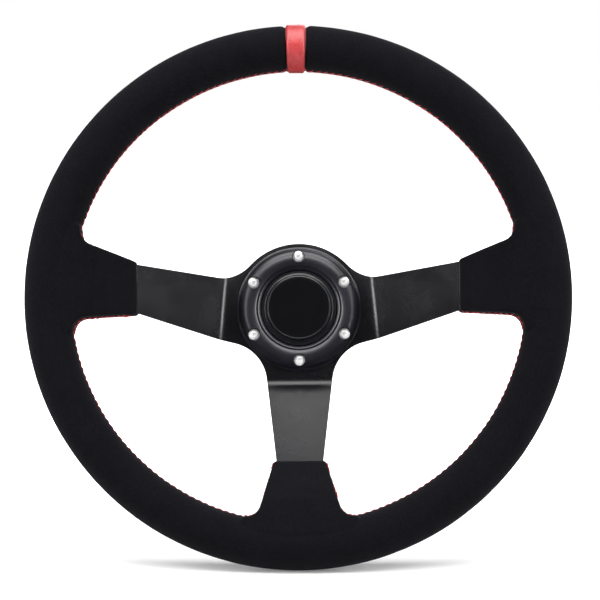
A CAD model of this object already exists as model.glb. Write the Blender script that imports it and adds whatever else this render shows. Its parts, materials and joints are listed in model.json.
import json
import math

import bpy
from mathutils import Matrix, Vector, noise
from mathutils.bvhtree import BVHTree
from mathutils.kdtree import KDTree

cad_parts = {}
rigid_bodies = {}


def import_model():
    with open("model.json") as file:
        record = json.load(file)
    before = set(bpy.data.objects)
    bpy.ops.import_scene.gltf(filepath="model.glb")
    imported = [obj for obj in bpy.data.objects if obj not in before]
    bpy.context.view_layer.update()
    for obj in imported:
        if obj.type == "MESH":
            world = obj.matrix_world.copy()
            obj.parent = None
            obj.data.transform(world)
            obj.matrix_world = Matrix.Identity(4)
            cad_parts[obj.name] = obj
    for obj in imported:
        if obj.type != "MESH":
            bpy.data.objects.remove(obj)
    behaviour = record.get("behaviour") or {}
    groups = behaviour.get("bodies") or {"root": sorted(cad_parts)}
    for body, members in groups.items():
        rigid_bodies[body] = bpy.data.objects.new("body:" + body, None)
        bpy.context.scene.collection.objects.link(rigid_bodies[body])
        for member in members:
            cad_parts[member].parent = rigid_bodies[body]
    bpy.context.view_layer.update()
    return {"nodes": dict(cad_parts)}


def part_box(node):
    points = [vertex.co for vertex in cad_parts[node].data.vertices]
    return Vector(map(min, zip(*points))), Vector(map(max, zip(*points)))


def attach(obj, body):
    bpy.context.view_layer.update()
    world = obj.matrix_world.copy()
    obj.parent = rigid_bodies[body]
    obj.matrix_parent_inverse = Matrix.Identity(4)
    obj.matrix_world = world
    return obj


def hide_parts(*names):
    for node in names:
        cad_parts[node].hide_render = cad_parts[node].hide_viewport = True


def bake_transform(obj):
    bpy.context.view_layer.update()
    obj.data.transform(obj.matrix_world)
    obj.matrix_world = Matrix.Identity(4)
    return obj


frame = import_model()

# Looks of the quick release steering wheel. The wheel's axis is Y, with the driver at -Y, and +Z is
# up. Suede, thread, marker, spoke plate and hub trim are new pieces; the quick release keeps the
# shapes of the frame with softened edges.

MM = 0.001


# --- sizes ---------------------------------------------------------------------

foam_low, foam_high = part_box("rim_foam")
marker_low, marker_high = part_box("centre_marker")
ring_low, ring_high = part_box("trim_ring")
cap_low, cap_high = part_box("horn_cap")
screws_low, screws_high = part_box("wheel_screws")
RIM_Y = (foam_low.y + foam_high.y) / 2
GRIP_R = (marker_high.y - marker_low.y) / 2
RIM_R = marker_high.z - GRIP_R
INNER_R = RIM_R - GRIP_R
RIM_CENTRE = Vector((0, RIM_Y, 0))
SUEDE_T = 1.1 * MM
MARKER_HALF = marker_high.x
SCREW_CIRCLE_R = 35 * MM
SCREW_HEAD_R = 3.8 * MM
SCREW_ANGLES = [math.radians(30 + 60 * i) for i in range(6)]
# Clear height under the horn cap's edge: its travel and a little more
HORN_GAP = 2.6 * MM

# Sleeves, as offsets from a spoke's own line: place of the open end, then for each edge the offset
# there and the angle at which it flares towards the rim
SLEEVE_S = 105 * MM
SIDE_UP = (25.2 * MM, math.radians(16.5))
SIDE_DOWN = (8.8 * MM, math.radians(8.5))
LOW_SIDE = (16.8 * MM, math.radians(15.8))
SLEEVE_FILLET_R = 9 * MM
SIDE_TILT = math.radians(5)
# Middle of a sleeve seen from the side, as distance from the axis, height over the coupler's mouth
# and half thickness
SLEEVE_LINE = [(s * MM, h * MM, t * MM) for s, h, t in (
    (99, 94.9, 4.7), (118, 113.9, 6.8), (128, 123.5, 7.9), (136, 129.6, 9.3), (145, 132.2, 11.4),
    (153, 133.0, 13.5), (160.2, 133.0, 14.7))]
RIM_H = -RIM_Y
RIM_TOP = RIM_H + 30 * MM
SKIN_STEP = 1.0 * MM

# How the suede is cut into panels: the angle of the seam between two panels on a side sleeve, the
# distance from the axis to the straight seam where a sleeve meets the rim, the angles between which
# each sleeve lies, and how far from the axis the seams at those angles run
SIDE_SEAM = 6.5
PANEL_S = 139 * MM
SLEEVE_SPANS = {"right": (-10, 18), "left": (162, 190), "bottom": (-104, -76)}
SLEEVE_REACH = 150 * MM

STITCH_PITCH = 4.6 * MM
STITCH_REACH = 3.0 * MM
THREAD_R = 0.42 * MM

# Vertices closer together than this are one
WELD = 0.002 * MM


# --- modelling helpers -----------------------------------------------------------

def only(piece):
    """Selects one piece and nothing else."""
    bpy.ops.object.select_all(action="DESELECT")
    piece.select_set(True)
    bpy.context.view_layer.objects.active = piece


def edit(piece, pick=None, kind="VERT"):
    """Opens a piece for editing with all of it selected, or only the vertices or faces that pick
    accepts."""
    only(piece)
    mesh = piece.data
    for part in (mesh.vertices, mesh.edges, mesh.polygons):
        part.foreach_set("select", [False] * len(part))
    if pick and kind == "FACE":
        mesh.polygons.foreach_set("select", [pick(face.center) for face in mesh.polygons])
    elif pick:
        mesh.vertices.foreach_set("select", [pick(vertex.co) for vertex in mesh.vertices])
    bpy.ops.object.mode_set(mode="EDIT")
    bpy.ops.mesh.select_mode(type=kind)
    if not pick:
        bpy.ops.mesh.select_all(action="SELECT")


def done():
    bpy.ops.object.mode_set(mode="OBJECT")


def settle(piece):
    """Moves a piece's place, turn and scale into its mesh."""
    only(piece)
    bpy.ops.object.transform_apply(location=True, rotation=True, scale=True)


def added(name):
    """Names the primitive that was just added and settles it."""
    piece = bpy.context.active_object
    piece.name = piece.data.name = name
    settle(piece)
    return piece


def modify(piece, kind, **settings):
    """Adds a modifier, sets it and applies it."""
    only(piece)
    modifier = piece.modifiers.new(kind, kind)
    for key, value in settings.items():
        setattr(modifier, key, value)
    bpy.ops.object.modifier_apply(modifier=modifier.name)


def break_edges(piece, width, angle, segments=2):
    """Bevels every edge that turns by more than an angle."""
    modify(piece, "BEVEL", width=width, segments=segments, limit_method="ANGLE",
           angle_limit=math.radians(angle))


def smooth(piece, angle):
    """Shades a piece smooth except at edges that turn by more than an angle."""
    only(piece)
    bpy.ops.object.shade_smooth_by_angle(angle=math.radians(angle))


def outwards(piece):
    """Welds a piece and turns its faces outwards."""
    edit(piece)
    bpy.ops.mesh.remove_doubles(threshold=WELD)
    bpy.ops.mesh.normals_make_consistent(inside=False)
    done()


def copied(piece, name):
    """A copy of a piece with a mesh of its own."""
    twin = bpy.data.objects.new(name, piece.data.copy())
    twin.data.name = name
    bpy.context.scene.collection.objects.link(twin)
    return twin


def joined(name, pieces):
    """Pieces made into one mesh."""
    bpy.ops.object.select_all(action="DESELECT")
    for piece in pieces:
        piece.select_set(True)
    bpy.context.view_layer.objects.active = pieces[0]
    bpy.ops.object.join()
    pieces[0].name = pieces[0].data.name = name
    return pieces[0]


def from_node(name, node):
    """A clean copy of a CAD node's mesh."""
    piece = copied(frame["nodes"][node], name)
    piece.data.materials.clear()
    edit(piece)
    bpy.ops.mesh.customdata_custom_splitnormals_clear()
    bpy.ops.mesh.remove_doubles(threshold=WELD)
    bpy.ops.mesh.dissolve_limited(angle_limit=math.radians(0.5))
    done()
    return piece


def bow(centre, radius, start, end, steps):
    """Points of an arc in a half section. Angles are in degrees, from outwards to the driver."""
    angles = [math.radians(start + (end - start) * i / steps) for i in range(steps + 1)]
    return [(centre[0] + radius * math.cos(a), centre[1] - radius * math.sin(a)) for a in angles]


def turned(name, section, sides=160):
    """A solid turned round the wheel's axis from a half section of (radius, y) points. A section
    that starts on the axis ends on it; any other is a closed loop."""
    solid = section[0][0] == 0
    # A point on the axis is drawn as a tiny circle, which is closed afterwards
    pin = 0.01 * MM
    section = [(max(r, pin), y) for r, y in section]
    first_r, first_y = section[0]
    bpy.ops.mesh.primitive_circle_add(vertices=sides, radius=first_r, location=(0, first_y, 0),
                                      rotation=(math.pi / 2, 0, 0))
    piece = added(name)
    edit(piece)
    for (r, y), (next_r, next_y) in zip(section, section[1:] + section[:0 if solid else 1]):
        bpy.ops.mesh.extrude_region_move(TRANSFORM_OT_translate={"value": (0, next_y - y, 0)})
        grow = next_r / r
        bpy.ops.transform.resize(value=(grow, 1, grow), center_override=(0, next_y, 0))
    done()
    if solid:
        for _, end_y in (section[0], section[-1]):
            edit(piece, lambda p: math.hypot(p.x, p.z) < 2 * pin and abs(p.y - end_y) < pin)
            bpy.ops.mesh.merge(type="CENTER")
            done()
    outwards(piece)
    return piece


def cut_with(piece, tool):
    """Cuts a tool's shape out of a piece and throws the tool away."""
    modify(piece, "BOOLEAN", operation="DIFFERENCE", object=tool, solver="EXACT")
    bpy.data.objects.remove(tool)


def ready(piece, material, body="wheel", replaces=()):
    """Gives a finished piece its material, its body and the nodes that it stands for."""
    piece.data.materials.clear()
    piece.data.materials.append(material)
    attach(piece, body)
    if replaces:
        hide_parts(*replaces)


# --- material helpers --------------------------------------------------------------

class Finish:
    """A node material under construction. Patterns read Object coordinates, in metres."""

    def __init__(self, name, **constants):
        self.material = bpy.data.materials.new(name)
        self.material.use_nodes = True
        self.tree = self.material.node_tree
        self.shader = self.tree.nodes["Principled BSDF"]
        for socket, value in constants.items():
            self.shader.inputs[socket.replace("_", " ")].default_value = value
        self.place = self.node("ShaderNodeTexCoord").outputs["Object"]

    def node(self, kind, **settings):
        made = self.tree.nodes.new(kind)
        for key, value in settings.items():
            setattr(made, key, value)
        return made

    def link(self, source, target):
        self.tree.links.new(source, target)

    def noise(self, scale, detail=3.0, roughness=0.5, stretch=None):
        """Fine random pattern; scale counts features per metre."""
        made = self.node("ShaderNodeTexNoise")
        made.inputs["Scale"].default_value = scale
        made.inputs["Detail"].default_value = detail
        made.inputs["Roughness"].default_value = roughness
        place = self.place
        if stretch:
            mapping = self.node("ShaderNodeMapping")
            mapping.inputs["Scale"].default_value = stretch
            self.link(place, mapping.inputs["Vector"])
            place = mapping.outputs["Vector"]
        self.link(place, made.inputs["Vector"])
        return made.outputs["Fac"]

    def cells(self, scale):
        made = self.node("ShaderNodeTexVoronoi")
        made.inputs["Scale"].default_value = scale
        self.link(self.place, made.inputs["Vector"])
        return made.outputs["Distance"]

    def ramp(self, value, stops):
        """Maps a value to colours, given as {position: colour}."""
        made = self.node("ShaderNodeValToRGB")
        elements = made.color_ramp.elements
        while len(elements) < len(stops):
            elements.new(0.5)
        for element, (position, colour) in zip(elements, sorted(stops.items())):
            element.position = position
            element.color = (*colour, 1)
        self.link(value, made.inputs["Fac"])
        return made.outputs["Color"]

    def between(self, value, low, high):
        """Maps a value from 0..1 to low..high."""
        made = self.node("ShaderNodeMapRange")
        made.inputs["To Min"].default_value = low
        made.inputs["To Max"].default_value = high
        self.link(value, made.inputs["Value"])
        return made.outputs["Result"]

    def mixed(self, factor, first, second):
        made = self.node("ShaderNodeMix", data_type="RGBA")
        self.link(factor, made.inputs["Factor"])
        self.link(first, made.inputs["A"])
        self.link(second, made.inputs["B"])
        return made.outputs["Result"]

    def sum(self, first, second, weight):
        """first plus weight times second."""
        made = self.node("ShaderNodeMath", operation="MULTIPLY_ADD")
        made.inputs[1].default_value = weight
        self.link(second, made.inputs[0])
        self.link(first, made.inputs[2])
        return made.outputs["Value"]

    def colour(self, source):
        self.link(source, self.shader.inputs["Base Color"])

    def rough(self, source):
        self.link(source, self.shader.inputs["Roughness"])

    def bump(self, height, depth, strength=1.0):
        made = self.node("ShaderNodeBump")
        made.inputs["Strength"].default_value = strength
        made.inputs["Distance"].default_value = depth
        self.link(height, made.inputs["Height"])
        self.link(made.outputs["Normal"], self.shader.inputs["Normal"])

    def axis_distance(self):
        """Distance from the wheel's axis, for turned and brushed finishes."""
        apart = self.node("ShaderNodeSeparateXYZ")
        self.link(self.place, apart.inputs["Vector"])
        flat = self.node("ShaderNodeCombineXYZ")
        self.link(apart.outputs["X"], flat.inputs["X"])
        self.link(apart.outputs["Z"], flat.inputs["Y"])
        length = self.node("ShaderNodeVectorMath", operation="LENGTH")
        self.link(flat.outputs["Vector"], length.inputs[0])
        return length.outputs["Value"], apart.outputs["Y"]


def suede_finish():
    """Short brushed nap: darker and paler patches with a fine fibre over them."""
    finish = Finish("black_suede", Specular_IOR_Level=0.06, Sheen_Weight=0.05, Sheen_Roughness=0.5,
                    Sheen_Tint=(0.70, 0.68, 0.80, 1))
    brushed = finish.noise(55, 4.0, 0.6)
    nap = finish.noise(900, 4.0, 0.7)
    fibre = finish.noise(3200, 2.0, 0.6)
    streak = finish.ramp(brushed, {0.32: (0.0017, 0.0016, 0.0024), 0.70: (0.0034, 0.0032, 0.0046)})
    tuft = finish.ramp(nap, {0.38: (0.0008, 0.0007, 0.0012), 0.68: (0.0072, 0.0068, 0.0090)})
    finish.colour(finish.mixed(finish.between(fibre, 0.25, 0.75), streak, tuft))
    finish.rough(finish.between(nap, 0.82, 1.0))
    finish.bump(finish.sum(nap, fibre, 0.6), 0.35 * MM, 0.7)
    return finish.material


def marker_finish():
    """Red leather with creases across the grip and a soft shine."""
    finish = Finish("red_leather", Specular_IOR_Level=0.6, Coat_Weight=0.45, Coat_Roughness=0.42)
    mottle = finish.noise(140, 4.0, 0.55)
    pebble = finish.cells(950)
    creases = finish.noise(420, 5.0, 0.65, stretch=(1, 0.35, 1))
    base = finish.ramp(mottle, {0.30: (0.36, 0.016, 0.018), 0.72: (0.48, 0.036, 0.038)})
    worn = finish.ramp(creases, {0.42: (0.27, 0.010, 0.014), 0.60: (0.46, 0.034, 0.036)})
    finish.colour(finish.mixed(finish.between(pebble, 0.2, 0.8), base, worn))
    finish.rough(finish.between(mottle, 0.36, 0.52))
    finish.bump(finish.sum(creases, pebble, 0.7), 0.22 * MM, 0.6)
    return finish.material


def thread_finish():
    finish = Finish("red_thread", Specular_IOR_Level=0.4, Sheen_Weight=0.35, Sheen_Roughness=0.4)
    strands = finish.noise(2600, 2.0, 0.5)
    finish.colour(finish.ramp(strands, {0.35: (0.40, 0.012, 0.018), 0.65: (0.72, 0.045, 0.05)}))
    finish.rough(finish.between(strands, 0.45, 0.7))
    finish.bump(strands, 0.15 * MM, 0.8)
    return finish.material


def coated_finish(name, dark, light, rough_low, rough_high, grain=1500, depth=0.05, metal=0.0,
                  specular=0.5):
    """Satin coat on alloy: fine grain, faint cloudiness, a little polish where hands rub."""
    finish = Finish(name, Metallic=metal, Specular_IOR_Level=specular)
    fine = finish.noise(grain, 3.0, 0.6)
    cloud = finish.noise(45, 3.0, 0.5)
    finish.colour(finish.ramp(finish.sum(cloud, fine, 0.35), {0.45: dark, 0.95: light}))
    finish.rough(finish.between(finish.sum(cloud, fine, 0.3), rough_low, rough_high))
    finish.bump(fine, depth * MM, 0.6)
    return finish.material


def turned_finish(name, dark, light, rough_low, rough_high, metal=1.0):
    """Lathe-turned metal: fine rings round the axis and slight stains."""
    ring_pitch = 0.35 * MM
    finish = Finish(name, Metallic=metal)
    radius, height = finish.axis_distance()
    rings = finish.node("ShaderNodeTexNoise", noise_dimensions="2D")
    rings.inputs["Scale"].default_value = 1 / ring_pitch
    rings.inputs["Detail"].default_value = 2.0
    track = finish.node("ShaderNodeCombineXYZ")
    finish.link(radius, track.inputs["X"])
    finish.link(height, track.inputs["Y"])
    finish.link(track.outputs["Vector"], rings.inputs["Vector"])
    stain = finish.noise(70, 4.0, 0.6)
    both = finish.sum(rings.outputs["Fac"], stain, 0.5)
    finish.colour(finish.ramp(both, {0.45: dark, 0.875: light}))
    finish.rough(finish.between(both, rough_low, rough_high))
    finish.bump(rings.outputs["Fac"], 0.03 * MM, 0.5)
    return finish.material


def moulded_finish(name, tone, rough_low, rough_high, grain=2200, depth=0.03):
    """Moulded rubber, plastic or foam skin."""
    finish = Finish(name, Specular_IOR_Level=0.5)
    grit = finish.noise(grain, 3.0, 0.6)
    light = tuple(value * 1.7 for value in tone)
    finish.colour(finish.ramp(grit, {0.35: tone, 0.75: light}))
    finish.rough(finish.between(grit, rough_low, rough_high))
    finish.bump(grit, depth * MM, 0.5)
    return finish.material


# Colours are linear. Coated and turned finishes take a dark and a light tone, moulded ones a single
# tone, and then the lowest and highest roughness.
SUEDE = suede_finish()
MARKER_RED = marker_finish()
THREAD_RED = thread_finish()
SPOKE_BLACK = coated_finish(
    "satin_black_alloy", (0.0026, 0.0025, 0.0034), (0.0066, 0.0063, 0.0084), 0.20, 0.30,
    depth=0.08, specular=0.7)
RING_BLACK = coated_finish(
    "hub_ring_black", (0.0055, 0.0047, 0.0095), (0.0125, 0.0108, 0.0195), 0.28, 0.38,
    grain=1400, depth=0.03, specular=1.0)
CAP_BLACK = coated_finish(
    "gloss_black_cap", (0.004, 0.004, 0.005), (0.008, 0.008, 0.010), 0.16, 0.24,
    grain=1200, depth=0.003, specular=1.0)
BADGE_BLACK = moulded_finish(
    "badge_black", (0.003, 0.003, 0.0038), 0.10, 0.15, grain=900, depth=0.001)
BRIGHT = coated_finish(
    "bright_plated_steel", (0.84, 0.84, 0.84), (0.97, 0.97, 0.96), 0.34, 0.46,
    grain=900, depth=0.006, metal=0.15, specular=0.9)
STEEL = turned_finish("machined_steel", (0.34, 0.34, 0.36), (0.62, 0.62, 0.65), 0.24, 0.42)
ANODISED = turned_finish(
    "black_anodised", (0.018, 0.018, 0.021), (0.05, 0.05, 0.056), 0.30, 0.46, metal=0.6)
COLLAR_GREY = turned_finish(
    "grey_anodised", (0.055, 0.055, 0.06), (0.13, 0.13, 0.14), 0.28, 0.42, metal=0.85)
SPRING = turned_finish("spring_steel", (0.22, 0.22, 0.24), (0.5, 0.5, 0.53), 0.25, 0.4)
BRASS = turned_finish("brass", (0.46, 0.29, 0.09), (0.78, 0.55, 0.22), 0.22, 0.38)
RUBBER = moulded_finish("black_rubber", (0.012, 0.012, 0.012), 0.65, 0.85)
PLASTIC = moulded_finish("black_plastic", (0.012, 0.012, 0.013), 0.42, 0.58)
FOAM = moulded_finish("moulded_foam", (0.03, 0.03, 0.032), 0.8, 0.95, grain=1100, depth=0.15)
ALUMINIUM = turned_finish("rivet_alloy", (0.5, 0.5, 0.52), (0.8, 0.8, 0.82), 0.25, 0.4)


# --- studio ------------------------------------------------------------------------

# How the wheel leans away from the camera, and how the floor tilts with the camera's look down
LEAN, TURN, TIP = (math.radians(angle) for angle in (6.63, -0.37, -0.57))
LOOKING_DOWN = math.radians(7)
# Camera: distance to the rim's centre, how far that is off the middle of the view, and lens in mm
DISTANCE = 1.422
SHIFT_X, SHIFT_Z = -1.21 * MM, 3.50 * MM
LENS = 133.6
TO_STUDIO = (Matrix.Rotation(TURN, 3, "Z") @ Matrix.Rotation(-LEAN, 3, "X")
             @ Matrix.Rotation(TIP, 3, "Y"))


def studio(x, y, z):
    """A place given from the rim's centre: right, away from the camera, and up, in metres."""
    return RIM_CENTRE + TO_STUDIO.transposed() @ Vector((x, y, z))


def aim(thing, target):
    towards = target - thing.location
    thing.rotation_euler = towards.to_track_quat("-Z", "Y").to_euler()


def make_camera():
    camera = bpy.data.objects.new("camera", bpy.data.cameras.new("camera"))
    camera.data.lens = LENS
    camera.data.sensor_width = 36
    camera.data.clip_start = 0.05
    camera.data.clip_end = 50
    turn = TO_STUDIO.transposed() @ Matrix.Rotation(math.pi / 2, 3, "X")
    camera.matrix_world = Matrix.Translation(studio(-SHIFT_X, -DISTANCE, -SHIFT_Z)) @ turn.to_4x4()
    bpy.context.scene.collection.objects.link(camera)
    bpy.context.scene.camera = camera


def soft_box(name, place, width, height, power):
    """A rectangular lamp that faces the rim's centre; sizes in metres, power in watts."""
    lamp = bpy.data.lights.new(name, "AREA")
    lamp.shape = "RECTANGLE"
    lamp.size = width
    lamp.size_y = height
    lamp.energy = power
    holder = bpy.data.objects.new(name, lamp)
    holder.location = studio(*place)
    aim(holder, RIM_CENTRE)
    bpy.context.scene.collection.objects.link(holder)


def make_lights():
    soft_box("light_top", (0, -0.6, 1.5), 2.2, 1.7, 46)
    soft_box("light_left", (-1.38, -0.80, 0.55), 0.5, 1.6, 24)
    soft_box("light_right", (1.38, -0.80, 0.50), 0.5, 1.6, 23)
    soft_box("light_back", (0.5, 1.8, 1.0), 1.4, 1.4, 14)


def make_world():
    """White all round as the camera sees it, and a dim studio in reflections."""
    world = bpy.data.worlds.new("studio")
    bpy.context.scene.world = world
    world.use_nodes = True
    nodes, links = world.node_tree.nodes, world.node_tree.links
    white = nodes["Background"]
    white.inputs["Color"].default_value = (1, 1, 1, 1)
    white.inputs["Strength"].default_value = 1.0
    dim = nodes.new("ShaderNodeBackground")
    dim.inputs["Color"].default_value = (0.9, 0.95, 1, 1)
    dim.inputs["Strength"].default_value = 0.06
    mix = nodes.new("ShaderNodeMixShader")
    path = nodes.new("ShaderNodeLightPath")
    links.new(path.outputs["Is Camera Ray"], mix.inputs["Fac"])
    links.new(dim.outputs["Background"], mix.inputs[1])
    links.new(white.outputs["Background"], mix.inputs[2])
    links.new(mix.outputs["Shader"], nodes["World Output"].inputs["Surface"])


def make_floor():
    """A pale floor under the rim's lowest point. The camera sees it glow further out, so that it
    ends in white."""
    up = TO_STUDIO.transposed() @ Matrix.Rotation(LOOKING_DOWN, 3, "X") @ Vector((0, 0, 1))
    drop = RIM_R * math.hypot(up.x, up.z) + GRIP_R
    bpy.ops.mesh.primitive_plane_add(size=14, location=RIM_CENTRE - up * drop)
    floor = bpy.context.active_object
    floor.rotation_euler = up.to_track_quat("Z", "Y").to_euler()
    floor.name = "floor"
    finish = Finish("pale_floor", Roughness=0.9, Specular_IOR_Level=0.1,
                    Emission_Color=(1, 1, 1, 1))
    grey, pale = (0.90, 0.90, 0.90), (0.93, 0.93, 0.93)
    finish.colour(finish.ramp(finish.noise(6, 2.0, 0.5), {0.3: grey, 0.7: pale}))
    apart = finish.node("ShaderNodeVectorMath", operation="DISTANCE")
    apart.inputs[1].default_value = floor.location
    finish.link(finish.place, apart.inputs[0])
    glow = finish.node("ShaderNodeMapRange", interpolation_type="SMOOTHSTEP")
    # In metres from the rim's foot, and the strength of the glow within and beyond
    glow.inputs["From Min"].default_value = 0.05
    glow.inputs["From Max"].default_value = 0.42
    glow.inputs["To Min"].default_value = 0.15
    glow.inputs["To Max"].default_value = 1.2
    finish.link(apart.outputs["Value"], glow.inputs["Value"])
    seen = finish.node("ShaderNodeMath", operation="MULTIPLY")
    finish.link(glow.outputs["Result"], seen.inputs[0])
    finish.link(finish.node("ShaderNodeLightPath").outputs["Is Camera Ray"], seen.inputs[1])
    finish.link(seen.outputs["Value"], finish.shader.inputs["Emission Strength"])
    floor.visible_glossy = False
    settle(floor)
    floor.data.materials.append(finish.material)


# --- suede rim and sleeves -----------------------------------------------------------

def plan(x, y, height):
    """A place given in the wheel's plane and by its height over the coupler's mouth."""
    return Vector((x, -height, y))


def sleeve_edge(edge):
    """One edge of a sleeve, in its spoke's own plane: straight from the open end, then a fillet
    into the rim. Its points run from the open end to the rim."""
    offset, flare = edge
    along = Vector((math.cos(flare), math.sin(flare)))
    out = Vector((-along.y, along.x))
    start = Vector((SLEEVE_S, offset))
    off = start.dot(out) + SLEEVE_FILLET_R
    centre = off * out + math.sqrt((INNER_R - SLEEVE_FILLET_R) ** 2 - off ** 2) * along
    tangent, end = centre - SLEEVE_FILLET_R * out, centre.normalized() * INNER_R
    first, last = (math.atan2(p.y - centre.y, p.x - centre.x) for p in (tangent, end))
    sweep = (last - first) % math.tau
    steps = 12
    turns = [first + sweep * i / steps for i in range(steps + 1)]
    line = [start.lerp(tangent, i / steps) for i in range(steps)]
    return line + [centre + SLEEVE_FILLET_R * Vector((math.cos(a), math.sin(a))) for a in turns]


def sleeve_middle(s):
    """Height of a sleeve's middle surface at a distance from the axis."""
    for (s0, h0, _), (s1, h1, _) in zip(SLEEVE_LINE, SLEEVE_LINE[1:]):
        if s <= s1:
            break
    return h0 + (h1 - h0) * (s - s0) / (s1 - s0)


def prism(name, points, direction):
    """A flat face through points, extruded along a direction."""
    mesh = bpy.data.meshes.new(name)
    mesh.from_pydata([tuple(point) for point in points], [], [range(len(points))])
    piece = bpy.data.objects.new(name, mesh)
    bpy.context.scene.collection.objects.link(piece)
    edit(piece)
    bpy.ops.mesh.extrude_region_move(TRANSFORM_OT_translate={"value": tuple(direction)})
    done()
    outwards(piece)
    return piece


def side_outline():
    """Outline round the circles of SLEEVE_LINE, seen from the side, as (distance, height)."""
    upper, lower = [], []
    last = len(SLEEVE_LINE) - 1
    for k, (s, h, r) in enumerate(SLEEVE_LINE):
        s0, h0, r0 = SLEEVE_LINE[max(k - 1, 0)]
        s1, h1, r1 = SLEEVE_LINE[min(k + 1, last)]
        slope = math.atan2(h1 - h0, s1 - s0)
        spread = math.acos((r0 - r1) / math.hypot(s1 - s0, h1 - h0))
        for side, way in ((upper, 1), (lower, -1)):
            a = slope + way * spread
            side.append((s + r * math.cos(a), h + r * math.sin(a)))
    return upper + lower[::-1]


def sleeve_form(name, up, down, tilt):
    """One sleeve's solid with its spoke along +X: its outline seen from the driver, cut by its
    outline seen from the side."""
    upper = sleeve_edge(up)
    lower = [Vector((point.x, -point.y)) for point in sleeve_edge(down)]
    into_rim = RIM_R / INNER_R
    outline = upper + [upper[-1] * into_rim, lower[-1] * into_rim] + lower[::-1]
    depth = 80 * MM
    piece = prism(name, [plan(p.x, p.y, RIM_TOP) for p in outline], (0, depth, 0))
    across = 120 * MM
    tool = prism("side_view", [(s, -h, -across / 2) for s, h in side_outline()], (0, 0, across))
    tool.data.transform(Matrix.Rotation(-tilt, 4, "Y"))
    modify(piece, "BOOLEAN", operation="INTERSECT", object=tool, solver="EXACT")
    bpy.data.objects.remove(tool)
    return piece


def suede_body():
    """Rim and sleeves as one smooth skin, before it is sewn."""
    bpy.ops.mesh.primitive_torus_add(major_segments=360, minor_segments=80, major_radius=RIM_R,
                                     minor_radius=GRIP_R, location=RIM_CENTRE,
                                     rotation=(math.pi / 2, 0, 0))
    rim = added("suede")
    right = sleeve_form("sleeve_form", SIDE_UP, SIDE_DOWN, SIDE_TILT)
    left = copied(right, "sleeve_form_left")
    left.data.transform(Matrix.Diagonal((-1, 1, 1, 1)))
    left.data.flip_normals()
    low = sleeve_form("sleeve_form_low", LOW_SIDE, LOW_SIDE, 0)
    low.data.transform(Matrix.Rotation(math.pi / 2, 4, "Y"))
    body = joined("suede", [rim, right, left, low])
    modify(body, "REMESH", mode="VOXEL", voxel_size=SKIN_STEP)
    modify(body, "SMOOTH", factor=0.5, iterations=12)
    return body


def seam_lines():
    """The inner seam's three lines, one round each opening."""

    def on_sleeve(points, tilt):
        """A sleeve's edge as places that rise from the sleeve's middle surface to the rim's."""
        places = []
        for i, p in enumerate(points):
            into_rim = max(0, 2 * i / (len(points) - 1) - 1)
            s = p.x * math.cos(tilt) + p.y * math.sin(tilt)
            places.append(plan(p.x, p.y, sleeve_middle(s) * (1 - into_rim) + RIM_H * into_rim))
        return places

    def mirrored(points, x=1, z=1):
        return [Vector((p.x * x, p.y, p.z * z)) for p in points]

    def round_opening(start, end):
        """Out along one sleeve's edge, round the rim and back along the next sleeve's edge."""
        a0, a1 = (math.atan2(line[-1].z, line[-1].x) for line in (start, end))
        count = round(abs(a1 - a0) * INNER_R / MM)
        arc = [plan(INNER_R * math.cos(a), INNER_R * math.sin(a), RIM_H)
               for a in (a0 + (a1 - a0) * i / count for i in range(1, count))]
        return start + arc + end[::-1]

    up = on_sleeve(sleeve_edge(SIDE_UP), SIDE_TILT)
    down = mirrored(on_sleeve(sleeve_edge(SIDE_DOWN), -SIDE_TILT), z=-1)
    low = [Matrix.Rotation(math.pi / 2, 3, "Y") @ p for p in on_sleeve(sleeve_edge(LOW_SIDE), 0)]
    right = round_opening(down, low)
    return {"upper": round_opening(up, mirrored(up, x=-1)), "lower_right": right,
            "lower_left": mirrored(right, x=-1)}


def stitch_count(line):
    """How many stitches fit a seam line."""
    return round(sum((b - a).length for a, b in zip(line, line[1:])) / STITCH_PITCH)


def paced(points, count):
    """The middles of count equal steps along a line."""
    gaps = [(b - a).length for a, b in zip(points, points[1:])]
    step = sum(gaps) / count
    places, gone, k = [], 0.0, 0
    for i in range(count):
        while k < len(gaps) - 1 and gone + gaps[k] < (i + 0.5) * step:
            gone += gaps[k]
            k += 1
        places.append(points[k].lerp(points[k + 1], ((i + 0.5) * step - gone) / gaps[k]))
    return places


def hollow(distance, width):
    """1 on a line, fading to 0 away from it."""
    return math.exp(-(distance / width) ** 2)


def marker_gap(place):
    """Distance along the rim from the marker's edge, or None where the marker is far away."""
    if place.z < 0 or abs(place.x) > 20 * MM:
        return None
    around = math.atan2(place.x, place.z)
    return abs(abs(around) * RIM_R - MARKER_HALF)


def ripple(place):
    """The slight unevenness of suede that was stretched over foam by hand."""
    return 0.10 * MM * noise.noise(place * 45) + 0.05 * MM * noise.noise(place * 140)


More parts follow.
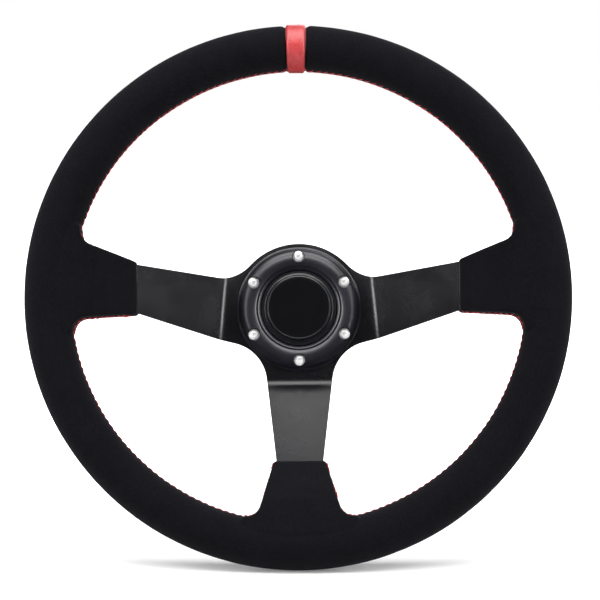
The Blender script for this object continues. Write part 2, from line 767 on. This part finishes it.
def sew(body, lines):
    """Pulls the skin in along the seams and by the marker, and puckers it at each stitch."""
    seam_reach, seam_depth, seam_width = 8 * MM, 0.75 * MM, 0.9 * MM
    pucker_h, pucker_off, pucker_width = 0.16 * MM, 2.4 * MM, 1.2 * MM
    roll_depth, roll_width = 1.3 * MM, 1.5 * MM
    rim_inset, rim_band = 0.06 * MM, 0.25 * MM
    beats = 8
    steps = [(place, (i + 0.5) / beats) for line in lines.values()
             for i, place in enumerate(paced(line, beats * stitch_count(line)))]
    near = KDTree(len(steps))
    for index, (place, _) in enumerate(steps):
        near.insert(place, index)
    near.balance()
    mesh = body.data
    normals = [vertex.normal.copy() for vertex in mesh.vertices]
    for vertex, normal in zip(mesh.vertices, normals):
        place = vertex.co.copy()
        rise = ripple(place)
        ring = math.hypot(place.x, place.z)
        section = math.hypot(ring - RIM_R, place.y - RIM_Y)
        if section < GRIP_R + rim_band:
            rise += GRIP_R - section - rim_inset
        _, index, apart = near.find(place)
        if apart < seam_reach:
            beat = -math.cos(math.tau * steps[index][1])
            rise -= seam_depth * hollow(apart, seam_width)
            rise += pucker_h * beat * hollow(apart - pucker_off, pucker_width)
        gap = marker_gap(place)
        if gap is not None:
            rise -= roll_depth * hollow(gap, roll_width)
        vertex.co = place + normal * rise


def score(body, place, normal, near):
    """Marks a cut across the faces that near accepts."""
    edit(body, pick=near, kind="FACE")
    bpy.ops.mesh.bisect(plane_co=place, plane_no=normal)
    done()


def part_off(body, name, inside):
    """Separates the faces that inside accepts, as a skin of real thickness."""
    edit(body, pick=inside, kind="FACE")
    before = set(bpy.data.objects)
    bpy.ops.mesh.separate(type="SELECTED")
    done()
    piece = (set(bpy.data.objects) - before).pop()
    piece.name = piece.data.name = name
    modify(piece, "SOLIDIFY", thickness=SUEDE_T, offset=-1, use_even_offset=False)
    smooth(piece, 50)
    return piece


def turned_by(degrees):
    """The direction square to a plane through the wheel's axis, at an angle from +X."""
    a = math.radians(degrees)
    return Vector((-math.sin(a), 0, math.cos(a)))


def within(place, low, high, wide=0):
    """Whether a place lies between two angles round the axis, or outside them by up to wide."""
    middle = (low + high) / 2
    angle = (math.degrees(math.atan2(place.z, place.x)) + 180 - middle) % 360 - 180 + middle
    return low - wide < angle < high + wide


def score_panels(body, marker_turn):
    """Scores the seams between panels, each only across the faces that lie near it."""
    axis, near = (0, 0, 0), 4 * MM
    for turn in (90 - marker_turn, 90 + marker_turn):
        score(body, axis, turned_by(turn), lambda p: p.z > 0 and abs(p.x) < 15 * MM)
    for side in (1, -1):
        score(body, (side * PANEL_S, 0, 0), (1, 0, 0),
              lambda p: abs(p.x - side * PANEL_S) < near and abs(p.z) < 50 * MM)
        score(body, axis, turned_by(side * SIDE_SEAM),
              lambda p: p.x * side > 100 * MM and 0 < p.z < 40 * MM)
    score(body, (0, 0, -PANEL_S), (0, 0, 1),
          lambda p: abs(p.z + PANEL_S) < near and abs(p.x) < 45 * MM)
    score(body, axis, (1, 0, 0), lambda p: p.z < -100 * MM and abs(p.x) < 8 * MM)
    for span in SLEEVE_SPANS.values():
        for turn in span:
            score(body, axis, turned_by(turn),
                  lambda p: within(p, turn, turn, 4) and math.hypot(p.x, p.z) < SLEEVE_REACH)


def make_suede():
    """Sews the skin and parts it into its panels. Returns the seam lines and the sewn surface."""
    body = suede_body()
    lines = seam_lines()
    sew(body, lines)
    skin = BVHTree.FromPolygons([v.co.copy() for v in body.data.vertices],
                                [tuple(face.vertices) for face in body.data.polygons])
    marker_turn = math.degrees(MARKER_HALF / RIM_R)
    score_panels(body, marker_turn)
    inside_rim = {"right": lambda p: p.x < PANEL_S, "left": lambda p: p.x > -PANEL_S,
                  "bottom": lambda p: p.z > -PANEL_S}
    cover_spans = {
        "upper_right": (SIDE_SEAM, 90 - marker_turn),
        "upper_left": (90 + marker_turn, 180 - SIDE_SEAM),
        "lower_right": (-90, SIDE_SEAM),
        "lower_left": (180 - SIDE_SEAM, 270),
    }
    pieces = {}
    for name, span in SLEEVE_SPANS.items():
        pieces[f"sleeve_{name}"] = part_off(body, f"suede_sleeve_{name}",
                                            lambda p: inside_rim[name](p) and within(p, *span))
    for name, span in cover_spans.items():
        pieces[f"cover_{name}"] = part_off(body, f"suede_{name}", lambda p: within(p, *span))
    bpy.data.objects.remove(body)
    for node, piece in pieces.items():
        ready(piece, SUEDE, replaces=(node,))
    return lines, skin


# --- thread and marker -----------------------------------------------------------------

def cross_stitch():
    """Two crossed threads over a seam that runs along X, on a surface whose outside is +Z."""
    # Share of the pitch that a thread leans to each side; its lift and how far the threads part
    # where they cross, in mm; and how deep its ends go into the suede
    slant, lift, parting, sink = 0.46, 0.35, 0.14, 0.75 * MM
    threads = []
    for lean in (1, -1):
        bpy.ops.mesh.primitive_cylinder_add(vertices=6, radius=THREAD_R, depth=2 * STITCH_REACH,
                                            rotation=(math.pi / 2, 0, 0))
        thread = added("thread")
        for cut in (-0.6, -0.2, 0.2, 0.6):
            edit(thread)
            bpy.ops.mesh.bisect(plane_co=(0, cut * STITCH_REACH, 0), plane_no=(0, 1, 0))
            done()
        for vertex in thread.data.vertices:
            across = vertex.co.y / STITCH_REACH
            vertex.co.x += lean * across * slant * STITCH_PITCH
            vertex.co.z += (lift + parting * lean) * MM - sink * across ** 2
        threads.append(thread)
    stitch = joined("stitch", threads)
    smooth(stitch, 70)
    return stitch


def sew_thread(lines, skin):
    """Lays crossed stitches along every seam line."""
    stitch = cross_stitch()
    for name, line in lines.items():
        places = paced(line, stitch_count(line))
        row = []
        for before, place, after in zip(places, places[1:], places[2:]):
            spot, normal, _, _ = skin.find_nearest(place)
            along = (after - before).normalized()
            normal = (normal - normal.dot(along) * along).normalized()
            copy = copied(stitch, "thread")
            frame_of = Matrix((along, normal.cross(along), normal)).transposed()
            copy.data.transform(Matrix.Translation(spot) @ frame_of.to_4x4())
            row.append(copy)
        thread = joined(f"thread_{name}", row)
        ready(thread, THREAD_RED, replaces=("rim_thread",))
    bpy.data.objects.remove(stitch)


def make_marker():
    """Leather band round the grip at the top, crowned, with its edges tucked into the suede."""
    turn = MARKER_HALF / RIM_R
    steps = 24
    crown_h, tuck_depth, edge_width = 0.55 * MM, 1.0 * MM, 1.5 * MM
    start = Matrix.Rotation(-turn, 3, "Y") @ Vector((0, 0, RIM_R))
    bpy.ops.mesh.primitive_circle_add(vertices=120, radius=GRIP_R, location=RIM_CENTRE + start,
                                      rotation=(0, math.pi / 2 - turn, 0))
    band = added("marker_band")
    edit(band)
    bpy.ops.mesh.spin(steps=steps, angle=-2 * turn, center=RIM_CENTRE, axis=(0, 1, 0))
    done()
    for vertex in band.data.vertices:
        place = vertex.co
        around = math.atan2(place.x, place.z)
        grip = RIM_R * Vector((math.sin(around), 0, math.cos(around))) + RIM_CENTRE
        out = (place - grip).normalized()
        edge = min(1, max(0, 1 - abs(around) / turn) * MARKER_HALF / edge_width)
        crown = crown_h * math.sin(edge * math.pi / 2) - tuck_depth * (1 - edge) ** 3
        crease = 0.16 * MM * noise.noise(place * 160) + 0.08 * MM * noise.noise(place * 420)
        side = 0.25 * MM * noise.noise(Vector((place.y, place.z, 0)) * 220) * (around / turn)
        vertex.co = grip + out * (GRIP_R + crown + crease) + side * Vector((1, 0, 0))
    outwards(band)
    modify(band, "SOLIDIFY", thickness=SUEDE_T, offset=-1)
    smooth(band, 60)
    ready(band, MARKER_RED, replaces=("centre_marker",))


# --- spokes and hub front ----------------------------------------------------------------

def make_spokes():
    """The spoke plate with its edges broken and its bends smooth."""
    plate = from_node("spoke_plate", "spoke_frame")
    break_edges(plate, 0.55 * MM, 35, segments=3)
    smooth(plate, 30)
    ready(plate, SPOKE_BLACK, replaces=("spoke_frame",))


def make_ring():
    """Bulged trim ring: six flat-bottomed recesses for the screw heads, and inside the bulge a fine
    groove and a sloping lip that reaches over the edge of the horn cap."""
    foot_y, foot_r = ring_high.y, ring_high.x
    bore_r = 27.4 * MM
    bulge_r = foot_y - ring_low.y
    bulge_s = foot_r - 1 * MM - bulge_r
    roll_r, roll_start, roll_end = 2.66 * MM, 111, 150
    roll = bow((bulge_s, foot_y), bulge_r - roll_r, roll_start, roll_start, 1)[0]
    groove_y, crest_y, tip_y = (foot_y - height * MM for height in (6.3, 7.6, 6.75))
    groove_out, groove_in, crest_out, crest_in = (r * MM for r in (28.1, 27.65, 27.55, 27.35))
    tip_upper, tip_r, tip_under = (r * MM for r in (25.85, 25.75, 25.95))
    under_y = tip_y + 0.4 * MM
    section = [(bore_r, foot_y), (foot_r, foot_y), (foot_r, foot_y - 0.7 * MM),
               (foot_r - 0.3 * MM, foot_y - 1 * MM)]
    section += bow((bulge_s, foot_y), bulge_r, 8, roll_start, 30)
    section += bow(roll, roll_r, roll_start, roll_end, 8)[1:]
    section += [(groove_out, groove_y), (groove_in, groove_y), (crest_out, crest_y - 0.1 * MM),
                (crest_in, crest_y), (tip_upper, tip_y), (tip_r, tip_y + 0.25 * MM),
                (tip_under, under_y), (bore_r, under_y)]
    ring = turned("hub_ring", section, 192)
    recess_r, tool_h = SCREW_HEAD_R + 0.4 * MM, 12 * MM
    tool_y = foot_y - 4.8 * MM - tool_h / 2
    for a in SCREW_ANGLES:
        bpy.ops.mesh.primitive_cylinder_add(
            vertices=64, radius=recess_r, depth=tool_h, rotation=(math.pi / 2, 0, 0),
            location=(SCREW_CIRCLE_R * math.cos(a), tool_y, SCREW_CIRCLE_R * math.sin(a)))
        cut_with(ring, added("recess"))
    break_edges(ring, 0.15 * MM, 40)
    outwards(ring)
    smooth(ring, 40)
    ready(ring, RING_BLACK, replaces=("trim_ring",))


def make_screws():
    """Round-headed socket screws: copies of one, each tightened to a turn of its own."""
    head_r = SCREW_HEAD_R
    head_h, dome_h = 2.2 * MM, 1.35 * MM
    top_y = screws_low.y
    seat_y = top_y + head_h
    dome_r = (head_r ** 2 + dome_h ** 2) / (2 * dome_h)
    half = math.degrees(math.asin(head_r / dome_r))
    shank_r = 2 * MM
    socket_r, socket_depth = 1.45 * MM, 1.6 * MM
    section = [(0, screws_high.y), (shank_r, screws_high.y), (shank_r, seat_y), (head_r, seat_y)]
    section += bow((0, top_y + dome_r), dome_r, 90 - half, 88, 12) + [(0, top_y)]
    screw = turned("screw", section, 48)
    bpy.ops.mesh.primitive_cylinder_add(vertices=6, radius=socket_r, depth=2 * socket_depth,
                                        location=(0, top_y, 0), rotation=(math.pi / 2, 0, 0))
    cut_with(screw, added("hex"))
    break_edges(screw, 0.12 * MM, 38)
    smooth(screw, 40)
    for i, a in enumerate(SCREW_ANGLES):
        copy = copied(screw, f"hub_screw_{i + 1}")
        turn = Matrix.Rotation(math.radians(17 * i), 4, "Y")
        place = Matrix.Translation((SCREW_CIRCLE_R * math.cos(a), 0, SCREW_CIRCLE_R * math.sin(a)))
        copy.data.transform(place @ turn)
        ready(copy, BRIGHT, replaces=("wheel_screws",))
    bpy.data.objects.remove(screw)


def make_horn_cap():
    """Horn cap: a flat channel round a boss whose lip holds the blank disc. The cap's edge runs
    under the ring's lip."""
    boss_drop = 1.4 * MM
    top_y, claw_y, edge_r = cap_low.y + boss_drop, cap_high.y, cap_high.x
    under_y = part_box("horn_housing")[0].y - HORN_GAP
    badge_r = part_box("horn_emblem")[1].x
    lip_in = badge_r + 0.05 * MM
    skirt_out, skirt_in = 24.1 * MM, 22.5 * MM
    claw_r = skirt_out + 0.7 * MM
    claw_end = claw_y - 1.8 * MM
    ceiling_y, channel_y, seat_y = (top_y + depth * MM for depth in (2.5, 1.9, 1))
    wall_r, channel_out, channel_in = (r * MM for r in (25.3, 25, 23.1))
    lip_round = 0.25 * MM
    section = [(0, ceiling_y), (skirt_in, ceiling_y), (skirt_in, claw_y), (skirt_out, claw_y),
               (claw_r, claw_y - 0.6 * MM), (claw_r, claw_end), (skirt_out, claw_end),
               (skirt_out, under_y), (edge_r, under_y), (edge_r, under_y - 0.8 * MM),
               (wall_r, under_y - 0.9 * MM), (wall_r, channel_y + 0.3 * MM),
               (channel_out, channel_y), (channel_in, channel_y)]
    # The boss's flank, rounded over into its flat top
    section += [(22.7 * MM, channel_y - 0.2 * MM), (21.85 * MM, top_y + 0.8 * MM),
                (21.7 * MM, top_y + 0.55 * MM), (21.2 * MM, top_y + 0.08 * MM), (21 * MM, top_y)]
    section += bow((lip_in + lip_round, top_y + lip_round), lip_round, 90, 180, 4)
    section += [(lip_in, seat_y), (0, seat_y)]
    cap = turned("horn_button_cap", section, 192)
    break_edges(cap, 0.12 * MM, 50)
    smooth(cap, 40)
    ready(cap, CAP_BLACK, body="horn_button", replaces=("horn_cap",))

    # The disc sits on the cap's seat and is crowned in the middle
    edge_y, middle_y = (top_y + depth * MM for depth in (0.47, 0.25))
    edge_round = 0.3 * MM
    section = [(0, seat_y), (badge_r, seat_y), (badge_r, edge_y + 0.1 * MM)]
    section += bow((badge_r - edge_round, edge_y + 0.1 * MM), edge_round, 20, 90, 5)
    section += [(badge_r * 0.6, middle_y), (badge_r * 0.3, middle_y), (0, middle_y)]
    badge = turned("horn_badge_disc", section, 192)
    smooth(badge, 40)
    ready(badge, BADGE_BLACK, body="horn_button", replaces=("horn_emblem",))


# --- quick release -----------------------------------------------------------------------

# For each node: the slot, the material, the body that it rides and the width of its bevels in mm
MACHINED = {
    "coupler_body": ("coupler_alloy", ANODISED, "wheel", 0.35),
    "release_collar": ("collar_alloy", COLLAR_GREY, "collar", 0.5),
    "spline_insert": ("machined_steel", STEEL, "wheel", 0.12),
    "collar_stop_washer": ("machined_steel", STEEL, "wheel", 0.15),
    "collar_circlip": ("spring_steel", SPRING, "wheel", 0.15),
    "insert_snap_ring": ("spring_steel", SPRING, "wheel", 0.15),
    "horn_housing": ("black_plastic", PLASTIC, "wheel", 0.2),
    "lead_grommet": ("grommet_rubber", RUBBER, "wheel", 0.5),
    "rim_hoop": ("hoop_steel", STEEL, "wheel", 0.4),
    "spoke_rivets": ("rivet_alloy", ALUMINIUM, "wheel", 0.2),
}
# Inner pieces that keep the frame's own mesh
AS_MADE = {
    "rim_foam": FOAM, "pad_left": FOAM, "pad_right": FOAM, "pad_bottom": FOAM,
    "horn_contact_disc": BRASS, "horn_terminals": BRASS,
}
# Each spring's two seats, as body and height over the coupler's mouth
SPRINGS = {
    "horn_spring": (("wheel", 43 * MM), ("horn_button", 56.5 * MM)),
    "collar_spring": (("collar", 20 * MM), ("wheel", 36 * MM)),
}


def make_machined():
    """Turned and milled pieces keep their shape and get broken edges."""
    for node, (slot, material, body, edge) in MACHINED.items():
        piece = from_node(f"{node}_finished", node)
        break_edges(piece, edge * MM, 40)
        smooth(piece, 35)
        ready(piece, material, body, replaces=(node,))


def make_balls():
    """Round locking balls in the places of the frame's faceted ones."""
    for i in range(1, 7):
        low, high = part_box(f"lock_ball_{i}")
        radius = (high.y - low.y) / 2
        bpy.ops.mesh.primitive_uv_sphere_add(segments=48, ring_count=24, radius=radius,
                                             location=(low + high) / 2)
        ball = added(f"lock_ball_{i}_finished")
        smooth(ball, 60)
        ready(ball, BRIGHT, f"ball_{i}", replaces=(f"lock_ball_{i}",))


def make_springs():
    """Springs that are squeezed between their seats when one of them moves."""
    for node, ((low, low_h), (high, high_h)) in SPRINGS.items():
        piece = from_node(f"{node}_coil", node)
        smooth(piece, 50)
        piece.data.materials.append(SPRING)
        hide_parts(node)
        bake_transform(piece)


def dress_nodes():
    """Gives the pieces that keep the frame's mesh their materials."""
    for node, material in AS_MADE.items():
        mesh = frame["nodes"][node].data
        mesh.materials.clear()
        mesh.materials.append(material)


make_camera()
make_world()
make_lights()
make_floor()
seams, sewn_skin = make_suede()
sew_thread(seams, sewn_skin)
make_marker()
make_spokes()
make_ring()
make_screws()
make_horn_cap()
make_machined()
make_balls()
make_springs()
dress_nodes()

bpy.context.scene.view_settings.view_transform = "Standard"
